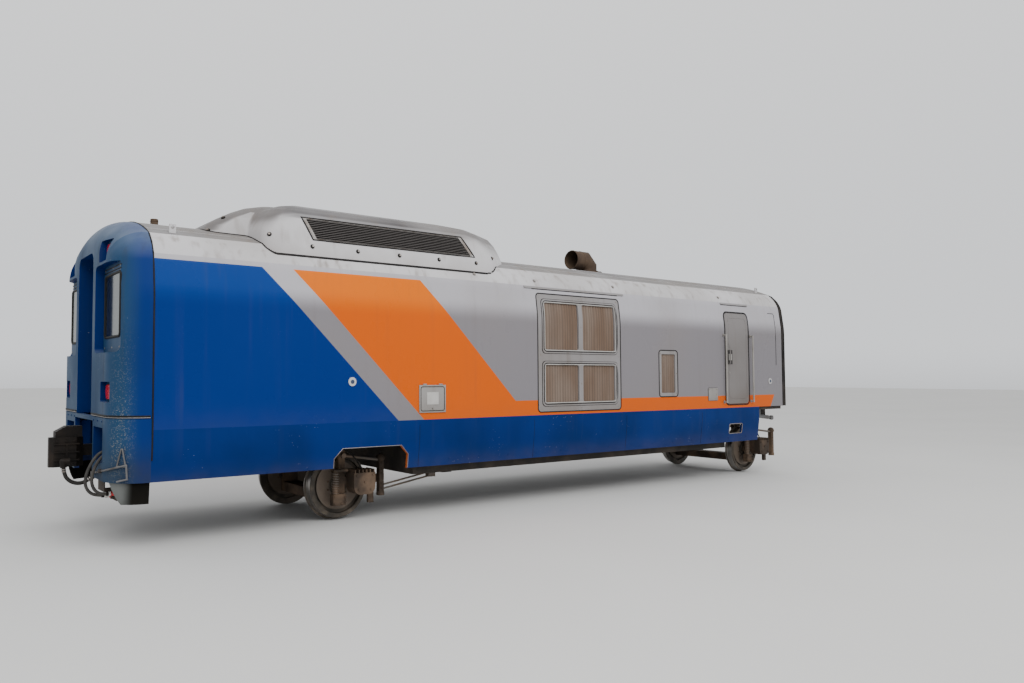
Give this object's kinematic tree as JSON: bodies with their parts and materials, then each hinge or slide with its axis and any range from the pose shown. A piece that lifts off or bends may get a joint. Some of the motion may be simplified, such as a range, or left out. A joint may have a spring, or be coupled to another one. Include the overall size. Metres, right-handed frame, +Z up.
{
  "type": "articulated train power coach",
  "caption": "End power coach of an articulated train: hollow car body, coupler nose, radiators, roof intake, single-axle running gear, swinging and sliding doors.",
  "frame": {"origin": "under the middle of the coach, at the lowest points of the wheel flanges", "axes": "+X along the coach towards the gangway end, +Y to the left, +Z up"},
  "size_m": [13.8649, 3.092, 4.288],
  "materials": {
    "body_paint": "satin grey enamel",
    "skirt_paint": "satin blue enamel",
    "nose_paint": "sun-faded blue enamel",
    "roof_paint": "weathered grey enamel",
    "frame_paint": "dirty black enamel",
    "hatch_paint": "light grey enamel",
    "screen_mesh": "dusty brown mesh",
    "grille_dark": "dirty louvres",
    "pane": "tinted glass",
    "red_lens": "red lens",
    "wheel_steel": "rolled steel, rusty web",
    "gear_steel": "brown brake dust",
    "coupler_steel": "greasy cast steel",
    "bare_steel": "worn steel",
    "rubber_black": "matt black rubber",
    "cable_grey": "dusty grey sheath",
    "damper_grey": "light grey damper tube",
    "red_plug": "red plug body",
    "engine_grey": null
  },
  "bodies": {
    "coach": {"roof": "roof_paint", "side_wall_right": "body_paint", "side_wall_left": "body_paint", "floor": "frame_paint", "underframe": "frame_paint", "belly_pan": "frame_paint", "jacking_pads": "frame_paint", "generator_set": "engine_grey", "skirt_right": "skirt_paint", "skirt_left": "skirt_paint", "nose_cap": "nose_paint", "nose_bulkhead": "nose_paint", "nose_apron": "nose_paint", "corner_deflectors": "nose_paint", "nose_windows": "pane", "tail_lamps": "red_lens", "headstock": "frame_paint", "coupler": "coupler_steel", "coupler_carrier": "coupler_steel", "uncoupling_lever": "bare_steel", "jumper_cable_a": "cable_grey", "jumper_cable_b": "cable_grey", "cable_plugs": "red_plug", "cable_sockets": "frame_paint", "brake_hose": "rubber_black", "hose_head": "coupler_steel", "angle_cock": "coupler_steel", "filler_wells": "hatch_paint", "radiator_frames": "body_paint", "radiator_screens": "screen_mesh", "side_vents": "screen_mesh", "small_hatches": "hatch_paint", "grab_rails": "bare_steel", "rain_gutters": "body_paint", "roof_fairing": "roof_paint", "fairing_grilles": "grille_dark", "exhaust_stack": "gear_steel", "roof_beacon": "gear_steel", "lifting_eyes": "bare_steel", "inner_end_wall": "body_paint", "gangway_bellows": "rubber_black", "inner_drawbar": "coupler_steel", "running_gear_front": "gear_steel", "running_gear_rear": "gear_steel", "air_springs": "rubber_black", "axle_boxes": "gear_steel", "guide_rods": "bare_steel", "inner_dampers": "damper_grey"},
    "wheel_front_right": {"wheel_front_right": "wheel_steel"},
    "wheel_front_left": {"wheel_front_left": "wheel_steel"},
    "wheel_rear_right": {"wheel_rear_right": "wheel_steel"},
    "wheel_rear_left": {"wheel_rear_left": "wheel_steel"},
    "service_door_right": {"service_door_right": "body_paint"},
    "service_door_left": {"service_door_left": "body_paint"},
    "filler_lid_right": {"filler_lid_right": "hatch_paint"},
    "filler_lid_left": {"filler_lid_left": "hatch_paint"},
    "end_door": {"end_door": "nose_paint"},
    "gangway_door": {"gangway_door": "body_paint"}
  },
  "joints": [
    {"name": "wheel_front_right_spin", "type": "hinge", "parent": "coach", "child": "wheel_front_right", "pos_m": [-3.3925, -0.7875, 0.468], "axis": [0, 1, 0], "continuous": true},
    {"name": "wheel_front_left_spin", "type": "hinge", "parent": "coach", "child": "wheel_front_left", "pos_m": [-3.3925, 0.7875, 0.468], "axis": [0, 1, 0], "continuous": true},
    {"name": "wheel_rear_right_spin", "type": "hinge", "parent": "coach", "child": "wheel_rear_right", "pos_m": [6.0675, -0.7875, 0.468], "axis": [0, 1, 0], "continuous": true},
    {"name": "wheel_rear_left_spin", "type": "hinge", "parent": "coach", "child": "wheel_rear_left", "pos_m": [6.0675, 0.7875, 0.468], "axis": [0, 1, 0], "continuous": true},
    {"name": "service_door_right_swing", "type": "hinge", "parent": "coach", "child": "service_door_right", "pos_m": [5.2875, -1.333, 2.278], "axis": [0, 0, -1], "range_deg": [0, 90]},
    {"name": "service_door_left_swing", "type": "hinge", "parent": "coach", "child": "service_door_left", "pos_m": [5.2875, 1.333, 2.278], "axis": [0, 0, 1], "range_deg": [0, 90]},
    {"name": "end_door_swing", "type": "hinge", "parent": "coach", "child": "end_door", "pos_m": [-6.0105, -0.45, 2.428], "axis": [0, 0, -1], "range_deg": [0, 90]},
    {"name": "gangway_door_slide", "type": "slide", "parent": "coach", "child": "gangway_door", "axis": [0, 1, 0], "range_m": [0, 0.8]},
    {"name": "filler_lid_right_swing", "type": "hinge", "parent": "coach", "child": "filler_lid_right", "pos_m": [-2.2625, -1.4823, 1.8365], "axis": [-1, 0, 0], "range_deg": [0, 110]},
    {"name": "filler_lid_left_swing", "type": "hinge", "parent": "coach", "child": "filler_lid_left", "pos_m": [-2.2625, 1.4823, 1.8365], "axis": [1, 0, 0], "range_deg": [0, 110]}
  ]
}
